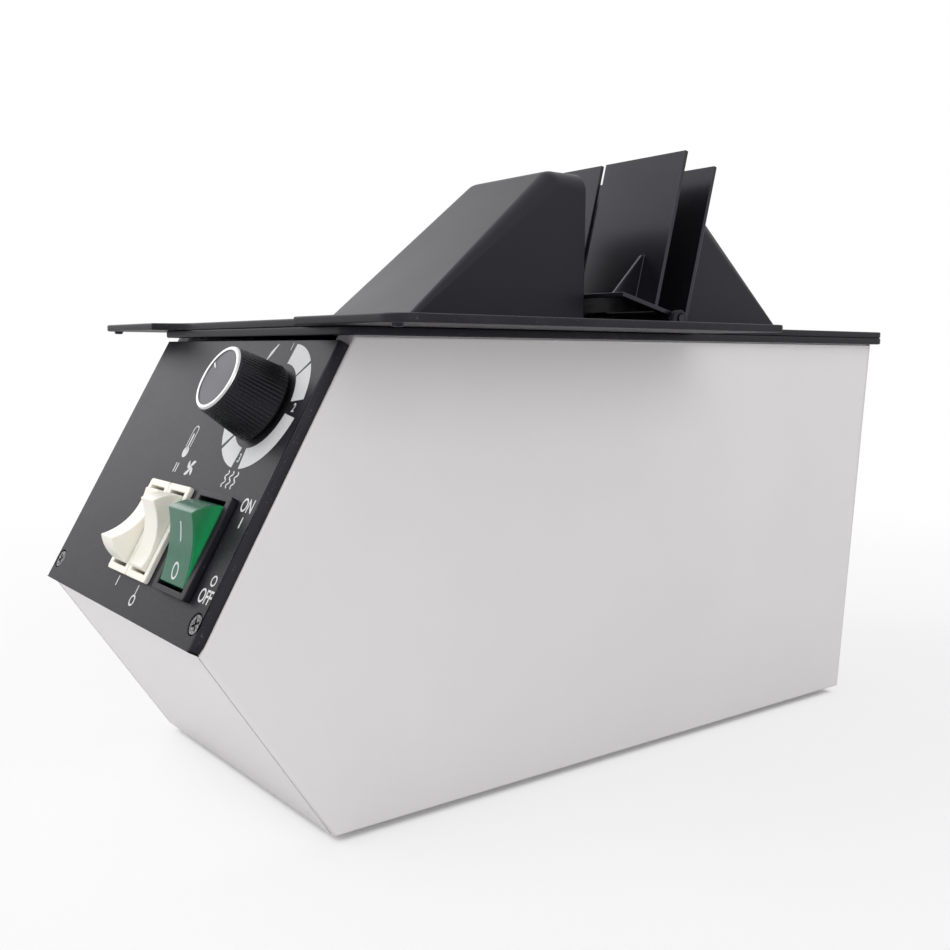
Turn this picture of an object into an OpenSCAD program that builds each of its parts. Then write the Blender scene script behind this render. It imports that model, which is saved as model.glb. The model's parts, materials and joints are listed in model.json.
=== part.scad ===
// Hot air warmer for eyeglass frames: a white sheet steel box with a slanted
// control panel, a black deck with side wings, and two hoods that face each
// other over the air outlet, where two pairs of tilting vanes steer the air.
// Millimetres. +X right, +Y back, +Z up, the table is z = 0.

/* [Box] */
// Width of the steel box
box_w = 123; // [116:1:132]
// Height of the box from its bottom sheet to its open top
box_h = 144; // [136:1:156]
// Length of the box along its top edge
box_top_len = 250.5; // [244:0.5:262]
// Reach of the nose in front of the top edge
nose_reach = 47.4; // [42:0.2:52]
// Drop from the top edge to the nose
nose_drop = 84; // [80:1:90]
// How far the bottom's front edge lies in front of the top's front edge
toe_reach = 7.4; // [2:0.2:12]
// How far the back wall leans in towards the bottom
heel_in = 12.8; // [8:0.2:16]
// Thickness of the wrap's sheet
wrap_t = 1.5; // [1.2:0.1:1.8]
// Thickness of the side panels' sheet
side_t = 1.2; // [1:0.1:1.5]
// Depth of the side panels' folded rims
rim_d = 9; // [7:0.5:11]
// Seam between the side panels and the wrap
seam = 0.3; // [0.2:0.05:0.5]

/* [Feet] */
// Height of the rubber feet
foot_h = 2.6; // [2.4:0.1:4]
// Diameter of the rubber feet
foot_d = 14; // [12:0.5:18]
// Distance of the feet from the box's sides
foot_in = 15.5; // [14:0.5:22]
// Distance of the front feet behind the top's front edge
foot_front = 12; // [10:1:20]
// Distance of the rear feet ahead of the top's back edge
foot_back = 28.5; // [26:0.5:36]

/* [Control panel] */
// Thickness of the panel moulding
panel_t = 3.2; // [2.8:0.1:3.8]
// Overhang of the panel and deck past the box's sides
side_over = 3.3; // [2.5:0.1:4.5]
// Radius of the panel's lower corners
panel_corner_r = 4; // [3:0.5:6]
// Radius of the panel's long front edges
panel_edge_r = 2.8; // [1:0.1:2.8]
// Diameter of the panel screws' recesses
screw_recess_d = 6.4; // [6:0.1:7.5]
// Distance of the panel screws from the box's sides
panel_screw_in = 4.5; // [4:0.1:6]
// Distance of the panel screws above the nose
panel_screw_up = 7.2; // [6.5:0.1:9]

/* [Knob] */
// Knob axis, right of the centre plane
knob_x = 36.6; // [32:0.2:40]
// Knob axis, down the slant from the box's top edge
knob_v = 25; // [24:0.2:30]
// Diameter of the knob at its foot
knob_foot_d = 24.6; // [22:0.2:27]
// Diameter of the knob at its end face
knob_end_d = 20.6; // [18:0.2:21.6]
// Height of the knob
knob_h = 16.2; // [14:0.2:19]
// Diameter of the potentiometer's shaft
pot_shaft_d = 6; // [5.8:0.1:6.2]

/* [Switches] */
// Centre line of all three switches, down the slant
switch_v = 69.6; // [67:0.2:72]
// Length of the switch bezels
bezel_len = 31; // [30:0.5:32]
// Width of a cream bezel
cream_bezel_w = 15.2; // [14.8:0.1:16]
// Centre of the left cream switch
cream_left_x = -4; // [-6:0.2:-3]
// Gap between the two cream bezels
cream_gap = 0.2; // [0.1:0.1:0.6]
// Centre of the green switch
power_x = 37.4; // [36.6:0.2:40]
// Width of the green switch's bezel
power_bezel_w = 22.6; // [22:0.2:24]
// Diameter of the rockers' pivot stubs
stub_d = 2.6; // [2.2:0.1:3]

/* [Deck] */
// Thickness of the deck plate
deck_t = 2.6; // [2:0.1:3.2]
// Thickness of the hood plate on the deck
plate_t = 2.4; // [2:0.1:3]
// Overhang of the deck in front of the box
deck_front = 4.8; // [4:0.2:6]
// Overhang of the deck behind the box
deck_back = 4.2; // [3:0.2:6]
// Reach of the wings past the box's sides
wing_reach = 42.7; // [36:0.5:48]
// Reach of the wings in front of the deck
wing_front = 9.2; // [7:0.2:12]
// Distance of the wings' inner front ends from the centre plane
wing_in = 52; // [46:1:58]
// Length of the wings behind the box's front edge
wing_len = 136.1; // [125:1:150]
// Radius of the wings' front corners
wing_r = 8; // [5:0.5:10]
// Radius of the hollow corners between wings and deck
wing_fillet = 15; // [12:1:18]

/* [Hoods] */
// Width of both hoods
hood_w = 53.8; // [50:0.2:56]
// Front hood's length from its foot to its mouth
hood_len = 79.1; // [76:0.2:82]
// Front hood's mouth ahead of the vanes' pivot
hood_gap = 30.7; // [30.3:0.1:33]
// Height of the front hood above the hood plate
hood_h = 55.7; // [50:0.2:60]
// Slope of the front hood's face in degrees
hood_slope = 41; // [39:0.5:43]
// Rear hood's length from its mouth to its foot
rear_len = 59.9; // [58:0.2:62]
// Rear hood's mouth behind the vanes' pivot
rear_gap = 25; // [24.6:0.1:27]
// Height of the rear hood above the hood plate
rear_h = 52; // [46:0.2:53]
// Slope of the rear hood's face in degrees
rear_slope = 43; // [42:0.5:46]
// Wall of both hoods
hood_wall = 2; // [1.6:0.1:2.4]
// Radius of the hoods' long edges
hood_r = 7; // [5:0.5:8]

/* [Deflectors] */
// Pivot of the deflectors ahead of the box's top back edge
pivot_back = 100.5; // [99:0.5:102]
// Pivot height above the hood plate
pivot_up = 3.6; // [3.4:0.1:4.2]
// Lean of the vanes at rest in degrees
lean = 14; // [10:0.5:15]
// Width of a deflector
vane_w = 42; // [38:0.5:43]
// Height of the vanes above the pivot
vane_h = 61; // [55:0.5:63]
// Thickness of the vanes
vane_t = 1.6; // [1.4:0.1:2]
// Half gap between the left and the right deflector
vane_gap = 1.2; // [0.8:0.1:1.6]
// Front vane's face ahead of the pivot
vane_front = 11.2; // [10:0.2:12]
// Rear vane's face behind the pivot
vane_rear = 5.5; // [5:0.1:6]
// Length of the base ahead of the pivot
base_front = 28; // [26:0.2:28.4]
// Diameter of the pivot rod
rod_d = 3; // [2.6:0.1:3.2]

/* [Blower] */
// Scroll axis behind the deflectors' pivot
scroll_back = 15; // [13:1:17]
// Scroll axis above the bottom sheet
scroll_up = 47; // [46:1:52]
// Inner width of the scroll
scroll_w = 42; // [38:1:44]
// Widest radius of the scroll
scroll_r = 44; // [42:0.5:45]
// Outer diameter of the impeller
impeller_d = 56; // [50:1:58]
// Number of blades
blades = 24; // [18:1:28]
// Diameter of the motor
motor_d = 42; // [38:1:46]
// Length of the motor
motor_len = 30; // [26:1:31]
// Diameter of the motor's shaft
shaft_d = 5; // [4:0.5:6]

/* [Cord bush] */
// Bore of the cord bush
bush_bore = 8; // [6:0.5:9]
// Height of the bush above the bottom sheet
bush_up = 24; // [20:1:30]
// Bush axis left of the centre plane
bush_x = 40; // [36:1:44]

/* [Electrics] */
// Width of the control board
board_w = 80; // [74:1:84]
// Depth of the control board
board_d = 70; // [66:1:74]
// Height of the posts under the board
post_h = 8; // [6:0.5:10]
// Length of the terminal block
block_l = 30; // [26:1:32]
// Width of the terminal block
block_w = 16; // [14:0.5:18]
// Height of the terminal block
block_h = 14; // [12:0.5:16]

/* [Hidden] */

white = [0.93, 0.92, 0.92];
black = [0.10, 0.10, 0.11];
cream = [0.95, 0.93, 0.85];
steel = [0.70, 0.71, 0.73];
clear = 0.3;
run_fit = 0.05;

box_top = foot_h + box_h;
plate_z = box_top + deck_t;
deck_top = plate_z + plate_t;
slant_len = norm([nose_reach, nose_drop]);
slant_tilt = atan(nose_drop / nose_reach);
back_lean = atan(heel_in / box_h);
half_w = box_w / 2;
front_w = box_w + 2 * side_over;
wing_x = half_w + wing_reach;
pivot_y = box_top_len - pivot_back;
hood_mouth = pivot_y - hood_gap;
hood_foot = hood_mouth - hood_len;
rear_mouth = pivot_y + rear_gap;
rear_foot = rear_mouth + rear_len;
scroll_y = pivot_y + scroll_back;
foot_x = half_w - foot_in;
foot_y = [foot_front, box_top_len - foot_back];
panel_screw_x = half_w - panel_screw_in;

// The control panel's bottom edge is foremost and the deck's back edge rearmost:
// the origin lies midway.
panel_top = 3.2;
panel_len = slant_len;
front_reach = panel_len * cos(slant_tilt) + panel_t * sin(slant_tilt);
mid_y = (box_top_len + deck_back - front_reach) / 2;

// Side profile of the box, as [y, z] points, anticlockwise from the top front.
profile = [[0, box_top], [-nose_reach, box_top - nose_drop], [-toe_reach, foot_h],
           [box_top_len - heel_in, foot_h], [box_top_len, box_top]];

function cross2(a, b) = a[0] * b[1] - a[1] * b[0];
function meet(p, d, q, e) = p + d * cross2(q - p, e) / cross2(d, e);
function unit2(a) = a / norm(a);
// Moves edge i of an anticlockwise outline inwards by t[i].
function inset(pts, t) = [for (i = [0:len(pts) - 1])
    let (n = len(pts), a = pts[(i + n - 1) % n], b = pts[i], c = pts[(i + 1) % n],
         d = unit2(b - a), e = unit2(c - b))
    meet(b - [d[1], -d[0]] * t[(i + n - 1) % n], d, b - [e[1], -e[0]] * t[i], e)];
function all_by(n, t) = [for (i = [1:n]) t];
// Points of an arc, from angle a0 to a1 in n steps.
function arc(c, r, a0, a1, n) = [for (i = [0:n])
    let (a = a0 + (a1 - a0) * i / n) c + r * [cos(a), sin(a)]];
// Rectangle with rounded corners, centred, as points.
function round_rect(w, h, r) = concat(
    arc([w / 2 - r, h / 2 - r], r, 0, 90, 5), arc([r - w / 2, h / 2 - r], r, 90, 180, 5),
    arc([r - w / 2, r - h / 2], r, 180, 270, 5), arc([w / 2 - r, r - h / 2], r, 270, 360, 5));

// Extrudes a [y, z] outline along X, from x0 to x1.
module along_x(x0, x1) {
    translate([x0, 0, 0]) rotate([90, 0, 90]) linear_extrude(x1 - x0) children();
}
module placed() translate([0, -mid_y, 0]) children();
// Local frame on the metal's slant: x right, y up the slant, z outwards.
module on_slant(x, v, h = 0) {
    translate([0, 0, box_top]) rotate([slant_tilt, 0, 0]) translate([x, -v, h]) children();
}
// Local frame of the back wall: z points out of the wall.
module on_back(x, up) {
    translate([x, box_top_len - heel_in + up * tan(back_lean), foot_h + up])
        rotate([-90 - back_lean, 0, 0]) children();
}

// ---- Box ----
wrap_strip = let (
        flange = 12,
        inner = inset(profile, all_by(5, wrap_t)),
        up = unit2(profile[0] - profile[1]), fwd = [-1, 0])
    concat([profile[1] + up * flange, profile[1], profile[2], profile[3], profile[4],
            profile[4] + fwd * flange],
           [inner[4] + fwd * (flange - wrap_t), inner[4], inner[3], inner[2], inner[1],
            inner[1] + up * (flange - wrap_t)]);
flange_half = half_w - rim_d - 1;
module base_wrap() color(white) placed() difference() {
    along_x(-half_w, half_w) polygon(wrap_strip);
    // The folded ends are narrower than the box, so that the side panels pass them.
    for (s = [-1, 1]) translate([s * (flange_half + 25), 0, 0]) {
        on_slant(0, slant_len - 7.6, -6) cube([50, 12, 14], center = true);
        translate([-25, box_top_len - 20, box_top - wrap_t - 1])
            cube([50, 20 - wrap_t, 4]);
    }
    for (x = [-foot_x, foot_x], y = foot_y)
        translate([x, y, foot_h - 1]) cylinder(d = 4.2, h = wrap_t + 2, $fn = 32);
    for (x = [-panel_screw_x + 12, panel_screw_x - 12])
        on_slant(x, slant_len - 7, -wrap_t - 1) cylinder(d = 3.2, h = wrap_t + 2, $fn = 32);
    // Air intake: rows of slots in the back wall.
    for (row = [0:8]) on_back(0, 46 + row * 7) cube([62, 3, 8], center = true);
    on_back(-bush_x, bush_up) translate([0, 0, -4]) cylinder(d = bush_bore + 4.1, h = 8, $fn = 48);
}

panel_gaps = [0, wrap_t + seam, wrap_t + seam, wrap_t + seam, 0];
side_outline = inset(profile, panel_gaps);
side_inner = inset(side_outline, all_by(5, side_t));
module side_panel() difference() {
    union() {
        along_x(half_w - side_t, half_w) polygon(side_outline);
        along_x(half_w - rim_d, half_w - side_t / 2) difference() {
            polygon(side_outline);
            polygon(side_inner);
        }
    }
    for (y = deck_screw_y) translate([deck_screw_x, y, box_top - side_t - 1])
        cylinder(d = 3.2, h = side_t + 2, $fn = 32);
    on_slant(panel_screw_x, panel_screw_v, -side_t - 1)
        cylinder(d = 3.2, h = side_t + 2, $fn = 32);
}
module side_panel_right() color(white) placed() side_panel();
module side_panel_left() color(white) placed() mirror([1, 0, 0]) side_panel();

// ---- Feet ----
module feet() color(black) placed() for (x = [-foot_x, foot_x], y = foot_y)
    translate([x, y, 0]) difference() {
        union() {
            cylinder(d = foot_d, h = foot_h - 0.8, $fn = 64);
            cylinder(d = foot_d - 1.6, h = foot_h, $fn = 64);
        }
        translate([0, 0, 1.4]) cylinder(d = 3.6, h = foot_h, $fn = 32);
        translate([0, 0, -1]) cylinder(d = 7, h = 2.4, $fn = 32);
    }
module foot_screws() color(steel) placed() for (x = [-foot_x, foot_x], y = foot_y)
    translate([x, y, 0.3]) {
        cylinder(d = 6.4, h = 1.1, $fn = 32);
        cylinder(d = 3.5, h = foot_h + wrap_t + 3.5, $fn = 32);
    }

// ---- Control panel ----
panel_screw_v = slant_len - panel_screw_up;
right_cream_x = cream_left_x + cream_bezel_w + cream_gap;
cream_hole = [cream_bezel_w - 2, bezel_len - 2.2];
power_hole = [power_bezel_w - 2, bezel_len - 1.4];
bush_thread_d = 7;
module control_panel() color(black) placed() difference() {
    intersection() {
        on_slant(0, (panel_top + panel_len) / 2) linear_extrude(panel_t)
            polygon(concat(
                [[front_w / 2, (panel_len - panel_top) / 2],
                 [-front_w / 2, (panel_len - panel_top) / 2]],
                arc([panel_corner_r - front_w / 2, panel_corner_r - (panel_len - panel_top) / 2],
                    panel_corner_r, 180, 270, 5),
                arc([front_w / 2 - panel_corner_r, panel_corner_r - (panel_len - panel_top) / 2],
                    panel_corner_r, 270, 360, 5)));
        // Cross-section: the long front edges are rounded.
        on_slant(0, panel_len + 1) rotate([-90, 0, 0]) mirror([0, 1, 0]) linear_extrude(panel_len + 2)
            polygon(concat([[-front_w / 2, 0], [front_w / 2, 0]],
                arc([front_w / 2 - panel_edge_r, panel_t - panel_edge_r], panel_edge_r, 0, 90, 6),
                arc([panel_edge_r - front_w / 2, panel_t - panel_edge_r], panel_edge_r, 90, 180, 6)));
    }
    for (x = [cream_left_x, right_cream_x])
        on_slant(x, switch_v, panel_t / 2) cube([cream_hole[0], cream_hole[1], panel_t + 2], center = true);
    on_slant(power_x, switch_v, panel_t / 2) cube([power_hole[0], power_hole[1], panel_t + 2], center = true);
    on_slant(knob_x, knob_v, -1) cylinder(d = bush_thread_d + 0.3, h = panel_t + 2, $fn = 48);
    for (x = [-panel_screw_x, panel_screw_x]) on_slant(x, panel_screw_v) {
        translate([0, 0, -1]) cylinder(d = 3.4, h = panel_t + 2, $fn = 32);
        translate([0, 0, panel_t - 1.6]) cylinder(d = screw_recess_d, h = 3, $fn = 48);
    }
}
module panel_screws() color(steel) placed() for (x = [-panel_screw_x, panel_screw_x])
    on_slant(x, panel_screw_v) difference() {
        union() {
            translate([0, 0, panel_t - 1.6]) cylinder(d = 5.6, h = 1.4, $fn = 48);
            translate([0, 0, -5]) cylinder(d = 3, h = panel_t + 4, $fn = 32);
        }
        for (a = [0, 90]) rotate([0, 0, a + 30]) translate([0, 0, panel_t])
            cube([3.6, 0.8, 1.4], center = true);
    }

// ---- Deck ----
deck_back_y = box_top_len + deck_back;
duct_half = 24;
duct_y = [hood_foot + 11.8, rear_foot - 8.9];
deck_screw_x = half_w - 5;
deck_screw_y = [10, pivot_y - 22, box_top_len - 8.5];
module top_deck() color(black) placed() difference() {
    translate([0, (deck_back_y - deck_front) / 2, box_top]) linear_extrude(deck_t)
        polygon(round_rect(front_w, deck_back_y + deck_front, 4));
    translate([-duct_half, duct_y[0], box_top - 1])
        cube([2 * duct_half, duct_y[1] - duct_y[0], deck_t + 2]);
    for (s = [-1, 1], y = deck_screw_y) translate([s * deck_screw_x, y, box_top - 1])
        cylinder(d = 3.4, h = deck_t + 2, $fn = 32);
}

// Right half of the hood plate's outline, from the front centre to the back centre.
fillet_a = acos(1 - wing_front / wing_fillet);
plate_half = concat(
    [[0, -deck_front]],
    arc([wing_in - wing_fillet * sin(fillet_a), -deck_front - wing_fillet],
        wing_fillet, 90, 90 - fillet_a, 6),
    arc([wing_x - wing_r, -deck_front - wing_front + wing_r], wing_r, 270, 360, 6),
    arc([wing_x - 3, wing_len - 3], 3, 0, 90, 4),
    [[front_w / 2, wing_len]],
    arc([front_w / 2 - 4, deck_back_y - 4], 4, 0, 90, 4));
function mirrored(pts) = [for (i = [len(pts) - 1:-1:1]) [-pts[i][0], pts[i][1]]];
hood_holes = [[hood_foot + 8, hood_mouth - 1], [hood_mouth + 5, rear_mouth - 5],
              [rear_mouth + 1, rear_foot - 9]];
lug_x = vane_gap + vane_w + clear;
lug_t = 3;
rod_z = deck_top + pivot_up;
module hood_plate() color(black) placed() difference() {
    union() {
        translate([0, 0, plate_z]) linear_extrude(plate_t)
            polygon(concat(plate_half, mirrored(plate_half)));
        // Ears that carry the pivot rod at its ends.
        for (s = [-1, 1]) along_x(s > 0 ? lug_x : -lug_x - lug_t, s > 0 ? lug_x + lug_t : -lug_x)
            polygon(concat(arc([pivot_y, rod_z], 3.2, 0, 180, 8),
                [[pivot_y - 5, deck_top - 0.5], [pivot_y + 5, deck_top - 0.5]]));
        // Small pips under the wings' front corners.
        for (s = [-1, 1]) translate([s * (wing_x - 6.5), -deck_front - wing_front + 4.5, plate_z - 1])
            cylinder(d = 3, h = 1.5, $fn = 32);
    }
    for (h = hood_holes) translate([-duct_half + 3, h[0], plate_z - 1])
        cube([2 * duct_half - 6, h[1] - h[0], plate_t + 2]);
    translate([-lug_x - lug_t - 1, pivot_y, rod_z]) rotate([0, 90, 0])
        cylinder(d = rod_d + 0.04, h = 2 * (lug_x + lug_t + 1), $fn = 48);
    for (s = [-1, 1], y = deck_screw_y) translate([s * deck_screw_x, y, plate_z - 1])
        cylinder(d = 3.4, h = plate_t + 2, $fn = 32);
    for (s = [-1, 1], y = deck_screw_y) translate([s * deck_screw_x, y, deck_top - 1.2])
        cylinder(d = 6, h = 2, $fn = 32);
}
module deck_screws() color(steel) placed() for (s = [-1, 1], y = deck_screw_y)
    translate([s * deck_screw_x, y, deck_top - 1.2]) {
        cylinder(d = 5.6, h = 1.1, $fn = 32);
        translate([0, 0, -plate_t - deck_t - 3]) cylinder(d = 3, h = plate_t + deck_t + 3, $fn = 32);
    }

// ---- Hoods: smooth moulded shells, open at the bottom and at the mouth ----
// half width, foot, mouth and height of the skin; r rounds its long edges.
module hood_skin(half, foot, mouth, tall, slope, r, below) {
    ridge = foot + tall / tan(slope);
    sphere_y = min(ridge + r * tan(slope / 2), mouth - 1);
    hull() {
        for (s = [-1, 1]) {
            translate([s * (half - r), sphere_y, tall - r]) sphere(r = r, $fn = 32);
            translate([s * (half - r), mouth, tall - r]) rotate([90, 0, 0]) cylinder(r = r, h = 0.6, $fn = 32);
            translate([s * (half - 2), foot + 2, 0]) cylinder(r = 2, h = 0.8, $fn = 24);
            translate([s * (half - 0.5), mouth - 0.5, -below]) cube([1, 1, 1], center = true);
            translate([s * (half - 2), foot + 2, -below]) cylinder(r = 2, h = 0.5, $fn = 24);
        }
    }
}
module hood_shell(foot, mouth, tall, slope) difference() {
    hood_skin(hood_w / 2, foot, mouth, tall, slope, hood_r, 0);
    hood_skin(hood_w / 2 - hood_wall, foot + hood_wall / sin(slope), mouth + 2,
              tall - hood_wall, slope, hood_r - hood_wall, 3);
    translate([-hood_w, foot - 5, -5]) cube([2 * hood_w, mouth - foot + 10, 5]);
}
module front_hood() color(black) placed() translate([0, 0, deck_top])
    hood_shell(hood_foot, hood_mouth, hood_h, hood_slope);
module rear_hood() color(black) placed() translate([0, 0, deck_top])
    mirror([0, 1, 0]) hood_shell(-rear_foot, -rear_mouth, rear_h, rear_slope);

// ---- Outlet screen under the deck ----
screen_t = 1;
bar_pitch = 8;
module outlet_screen() color(steel) placed() difference() {
    translate([-duct_half - 4, duct_y[0] - 4, box_top - screen_t])
        cube([2 * duct_half + 8, duct_y[1] - duct_y[0] + 8, screen_t]);
    for (y = [duct_y[0] + 3:bar_pitch:duct_y[1] - 8], x = [-duct_half + 1, 1])
        translate([x, y, box_top - 2]) cube([duct_half - 2, bar_pitch - 2.4, 3]);
}

// ---- Deflectors: two vanes on a small base, tilting about the pivot rod ----
base_top = 2.2;
base_t = 1.8;
knuckle_r = 2.6;
module deflector() translate([0, pivot_y, rod_z]) rotate([-lean, 0, 0]) difference() {
    union() {
        for (y = [-vane_front, vane_rear]) translate([vane_gap, y, base_top - 0.5])
            cube([vane_w, vane_t, vane_h - base_top + 0.5]);
        translate([vane_gap, -base_front, base_top - base_t])
            cube([vane_w, base_front + vane_rear + vane_t, base_t]);
        translate([vane_gap, 0, 0]) rotate([0, 90, 0]) cylinder(r = knuckle_r, h = vane_w, $fn = 48);
        // Gusset between the base and the front vane.
        along_x(vane_gap + vane_w - 12, vane_gap + vane_w - 10.6)
            polygon([[-vane_front + 0.5, base_top - 0.5], [-vane_front + 0.5, 21.5], [-vane_front - 1, 21.5],
                     [-base_front + 5, base_top + 1], [-base_front + 5, base_top - 0.5]]);
    }
    translate([-1, 0, 0]) rotate([0, 90, 0])
        cylinder(d = rod_d + 2 * run_fit, h = vane_w + 4, $fn = 48);
    // Slot that lets the air up between the vanes.
    translate([vane_gap + 3, vane_t - vane_front + 0.4, base_top - base_t - 1])
        cube([vane_w - 6, vane_front - vane_t - knuckle_r - 0.9, base_t + 2]);
}
module deflector_right() color(black) placed() deflector();
module deflector_left() color(black) placed() mirror([1, 0, 0]) deflector();
module pivot_rod() color(steel) placed()
    translate([-lug_x - lug_t - 0.5, pivot_y, rod_z]) rotate([0, 90, 0])
        cylinder(d = rod_d, h = 2 * (lug_x + lug_t) + 1, $fn = 48);

// ---- Knob and potentiometer ----
knob_gap = 0.8;
flutes = 36;
knob_skirt = 1.2;
function flute_r(i) = i % 2 == 0 ? 1 : 0.955;
module heat_knob() color(black) placed() on_slant(knob_x, knob_v, panel_t + knob_gap) difference() {
    union() {
        linear_extrude(knob_h - 0.6, scale = (knob_end_d - 1.2) / (knob_foot_d - 0.6))
            polygon([for (i = [0:2 * flutes - 1])
                let (a = i * 180 / flutes) (knob_foot_d / 2 - 0.3) * flute_r(i) * [cos(a), sin(a)]]);
        cylinder(d = knob_foot_d, h = knob_skirt, $fn = 96);
    }
    translate([0, 0, -1]) cylinder(d = 13, h = 5, $fn = 48);
    cylinder(d = pot_shaft_d, h = knob_h - 3, $fn = 48);
}
module knob_ring() color([0.85, 0.85, 0.87]) placed()
    on_slant(knob_x, knob_v, panel_t + knob_gap + knob_h - 0.6) difference() {
        cylinder(d1 = knob_end_d - 0.4, d2 = knob_end_d - 1.2, h = 0.6, $fn = 96);
        translate([0, 0, -0.1]) cylinder(d = knob_end_d - 3, h = 0.8, $fn = 96);
    }
pot_bush_len = 5;
module pot_shaft() color(steel) placed() on_slant(knob_x, knob_v, -8)
    cylinder(d = pot_shaft_d, h = 8 + panel_t + knob_gap + knob_h - 3, $fn = 48);
module pot_body() color([0.3, 0.3, 0.33]) placed() on_slant(knob_x, knob_v) difference() {
    union() {
        translate([0, 0, -11]) cylinder(d = 17, h = 11, $fn = 64);
        translate([0, 0, -0.5]) cylinder(d = bush_thread_d, h = pot_bush_len + 0.5, $fn = 48);
        for (x = [-4, 0, 4]) translate([x - 1, -13.5, -9]) cube([2, 6, 0.8]);
    }
    translate([0, 0, -9]) cylinder(d = pot_shaft_d + 2 * run_fit, h = 20, $fn = 48);
}
module pot_nut() color(steel) placed() on_slant(knob_x, knob_v, panel_t) difference() {
    cylinder(d = 11.5, h = 1.6, $fn = 6);
    translate([0, 0, -1]) cylinder(d = bush_thread_d + 0.1, h = 4, $fn = 48);
}

// ---- Rocker switches ----
// Each kind: bezel width, hole, pivot depth under the panel face, tip radius,
// half angle between the tips, tilt, radius at the middle, bezel height, and
// the angle of the arc beyond each tip, and the thickness of the body's side walls.
cream_kind = [cream_bezel_w, cream_hole, 1.1, 12.6, 52.4, 17.7, 4.9, 1.6, 14, 1.1];
power_kind = [power_bezel_w, power_hole, 1.4, 13, 53, 21, 6.4, 2.2, 12, 1.5];
end_wall = 0.8;
body_deep = 16;
rocker_play = 0.25;
function well_w(kind) = kind[1][0] - 2 * clear - 2 * kind[9];
function well_len(kind) = kind[1][1] - 2 * clear - 2 * end_wall;
module switch_body(kind) {
    hole = kind[1];
    difference() {
        union() {
            translate([0, 0, panel_t]) linear_extrude(kind[7])
                polygon(round_rect(kind[0], bezel_len, 1));
            translate([-hole[0] / 2 + clear, -hole[1] / 2 + clear, -body_deep])
                cube([hole[0] - 2 * clear, hole[1] - 2 * clear, body_deep + panel_t + 0.2]);
            for (y = [-8, 0, 8]) translate([-2.4, y - 0.4, -body_deep - 8]) cube([4.8, 0.8, 8.5]);
        }
        translate([-well_w(kind) / 2, -well_len(kind) / 2, -body_deep + 5])
            cube([well_w(kind), well_len(kind), 40]);
        translate([clear - hole[0] / 2, 0, panel_t - kind[2]]) rotate([0, 90, 0])
            cylinder(d = stub_d + 2 * run_fit, h = hole[0] - 2 * clear, $fn = 32);
    }
}
// The rocker's side outline: a shallow hollow between two tips, arcs at its ends.
module rocker(kind, tilt) {
    reach = kind[3];
    tip = kind[4];
    end = tip + kind[8];
    hollow = reach * cos(tip) - kind[6];
    chord = reach * sin(tip);
    sweep_r = (chord * chord + hollow * hollow) / (2 * hollow);
    sweep_a = asin(chord / sweep_r);
    w = well_w(kind) - 2 * rocker_play;
    translate([0, 0, panel_t - kind[2]]) rotate([tilt, 0, 0]) {
        along_x(-w / 2, w / 2) polygon(concat(
            arc([0, kind[6] + sweep_r], sweep_r, 270 + sweep_a, 270 - sweep_a, 8),
            arc([0, 0], reach, 90 + tip, 90 + end, 3),
            [[-reach * sin(end) + 0.6, 2], [-6, -3.4], [6, -3.4],
             [reach * sin(end) - 0.6, 2]],
            arc([0, 0], reach, 90 - end, 90 - tip, 3)));
        translate([-w / 2 - 0.9, 0, 0]) rotate([0, 90, 0]) cylinder(d = stub_d, h = w + 1.8, $fn = 32);
    }
}
module left_switch_body() color(cream) placed() on_slant(cream_left_x, switch_v) switch_body(cream_kind);
module right_switch_body() color(cream) placed() on_slant(right_cream_x, switch_v) switch_body(cream_kind);
module power_switch_body() color(black) placed() on_slant(power_x, switch_v) switch_body(power_kind);
module left_rocker() color(cream) placed() on_slant(cream_left_x, switch_v) rocker(cream_kind, -cream_kind[5]);
module right_rocker() color(cream) placed() on_slant(right_cream_x, switch_v) rocker(cream_kind, cream_kind[5]);
module power_rocker() color([0.1, 0.5, 0.3]) placed() on_slant(power_x, switch_v) rocker(power_kind, power_kind[5]);
module power_lamp() color([0.9, 0.6, 0.4]) placed() on_slant(power_x, switch_v - 7, -body_deep + 5)
    cylinder(d = 4, h = 4.5, $fn = 32);

// ---- Heater and duct ----
heater_y = [pivot_y - 31, pivot_y + 11];
heater_z = [foot_h + wrap_t + 83, box_top - 44];
duct_wall = 1;
module air_duct() color(steel) placed() {
    low = heater_z[1];
    high = box_top - screen_t;
    outer = [[heater_y[0], low], [heater_y[1], low], [duct_y[1] + 2, high], [duct_y[0] - 2, high]];
    inner = [[heater_y[0] + duct_wall, low - 1], [heater_y[1] - duct_wall, low - 1],
             [duct_y[1] + 1, high + 1], [duct_y[0] - 1, high + 1]];
    difference() {
        along_x(-duct_half - 1, duct_half + 1) polygon(outer);
        along_x(-duct_half, duct_half) polygon(inner);
    }
}
module heater_frame() color([0.75, 0.7, 0.6]) placed() difference() {
    translate([-duct_half - 1, heater_y[0], heater_z[0]])
        cube([2 * duct_half + 2, heater_y[1] - heater_y[0], heater_z[1] - heater_z[0]]);
    for (x = [-duct_half + 1, -7, 9]) translate([x, heater_y[0] + 2, heater_z[0] - 1])
        cube([14, heater_y[1] - heater_y[0] - 4, heater_z[1] - heater_z[0] + 2]);
}
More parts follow.
